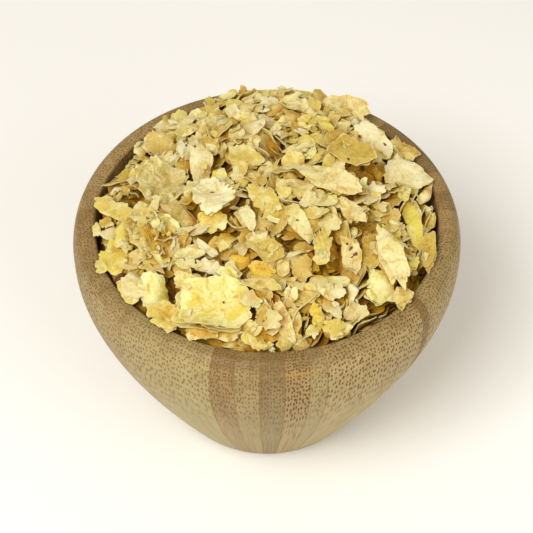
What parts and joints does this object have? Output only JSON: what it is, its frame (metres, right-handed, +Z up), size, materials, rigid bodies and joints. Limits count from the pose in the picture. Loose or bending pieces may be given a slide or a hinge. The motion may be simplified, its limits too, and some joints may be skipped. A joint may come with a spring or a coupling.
{
  "type": "bowl of chestnut flakes",
  "caption": "Round bamboo bowl with a thick rounded rim and a small flat foot, heaped above the rim with loose pale yellow chestnut flakes.",
  "frame": {"origin": "middle of the foot, on the surface that the bowl stands on", "axes": "+Z up along the bowl's axis, -Y the front that the picture's camera looks from, +X to that view's right"},
  "size_m": [0.12, 0.12, 0.0934],
  "materials": {
    "bamboo": "satin, smooth turned end grain with fine dots and streaks",
    "chestnut_flakes": "matte, dry and slightly crackled pressed chestnut"
  },
  "bodies": {
    "root": {"bowl": "bamboo", "chestnut_flakes": "chestnut_flakes"}
  },
  "joints": []
}
